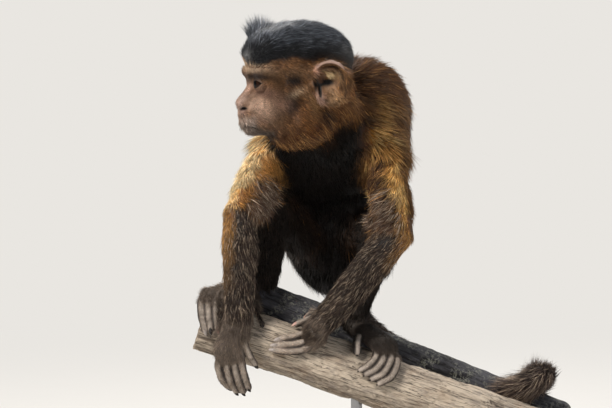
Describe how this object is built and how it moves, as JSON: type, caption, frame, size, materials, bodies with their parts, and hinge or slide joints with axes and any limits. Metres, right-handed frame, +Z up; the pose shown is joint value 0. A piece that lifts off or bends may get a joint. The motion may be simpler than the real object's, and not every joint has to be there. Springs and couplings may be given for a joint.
{
  "type": "capuchin monkey model",
  "caption": "Life-size capuchin monkey with a black cap, crouched on a sloping log with its head turned to its right and its tail over a thinner branch, on a plain stand.",
  "frame": {"origin": "middle of the underside of the stand's base", "axes": "+Z up, -Y towards the viewer who faces the monkey's chest, +X towards the monkey's left and the log's lower end"},
  "size_m": [0.3679, 0.28, 0.4568],
  "materials": {
    "coat": "long dense fur, dark brown to black",
    "coat_head": "short fur, tan to brown on the face under a black cap",
    "coat_arm": "long fur, golden yellow to dark brown",
    "ear_skin": "thin bare skin, matte",
    "paw_skin": "creased dark skin with short hair, satin nails",
    "eye": "wet and glossy, very dark brown",
    "log_wood": "weathered, bare and cracked along the grain",
    "branch_bark": "dark rough bark with pale patches",
    "base_wood": "dark satin varnish",
    "rod_steel": "satin"
  },
  "bodies": {
    "root": {"trunk": "coat", "neck": "coat", "head": "coat_head", "eye_left": "eye", "eye_right": "eye", "ear_left": "ear_skin", "ear_right": "ear_skin", "arm_upper_left": "coat_arm", "arm_upper_right": "coat_arm", "arm_fore_left": "coat", "arm_fore_right": "coat", "hand_left": "paw_skin", "hand_right": "paw_skin", "leg_thigh_left": "coat", "leg_thigh_right": "coat", "leg_shank_left": "coat", "leg_shank_right": "coat", "foot_left": "paw_skin", "foot_right": "paw_skin", "tail_1": "coat", "tail_2": "coat", "tail_3": "coat", "tail_4": "coat", "tail_5": "coat", "perch_log": "log_wood", "perch_branch": "branch_bark", "stand_base": "base_wood", "stand_rod_log": "rod_steel", "stand_rod_branch": "rod_steel"}
  },
  "joints": []
}
